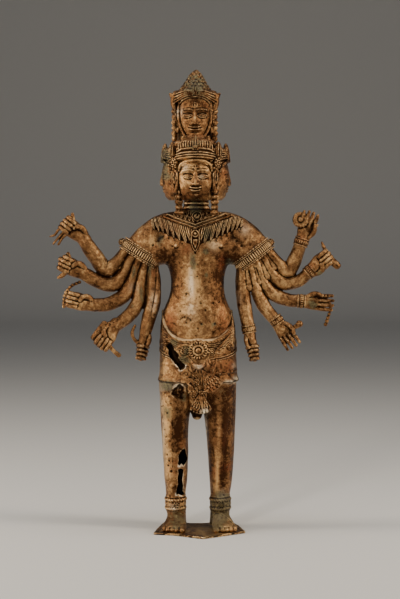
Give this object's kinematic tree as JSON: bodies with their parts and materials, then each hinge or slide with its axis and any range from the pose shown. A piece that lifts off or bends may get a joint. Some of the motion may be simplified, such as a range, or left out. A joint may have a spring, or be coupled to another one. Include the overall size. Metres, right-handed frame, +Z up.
{
  "type": "bronze deity statue",
  "caption": "Standing many-armed deity with tiered heads, cast in gilt bronze on a thin foot plate, worn and torn at hip and shin",
  "frame": {"origin": "on the flat underside of the foot plate, below the ankles", "axes": "+Z up, the figure faces -Y, +X is the figure's own left, on the right as seen from the front"},
  "size_m": [0.2907, 0.0906, 0.4588],
  "materials": {
    "gilt_bronze": "worn gilding over cast bronze, dark and green patina in the recesses"
  },
  "bodies": {
    "root": {"deity_figure": "gilt_bronze"}
  },
  "joints": []
}
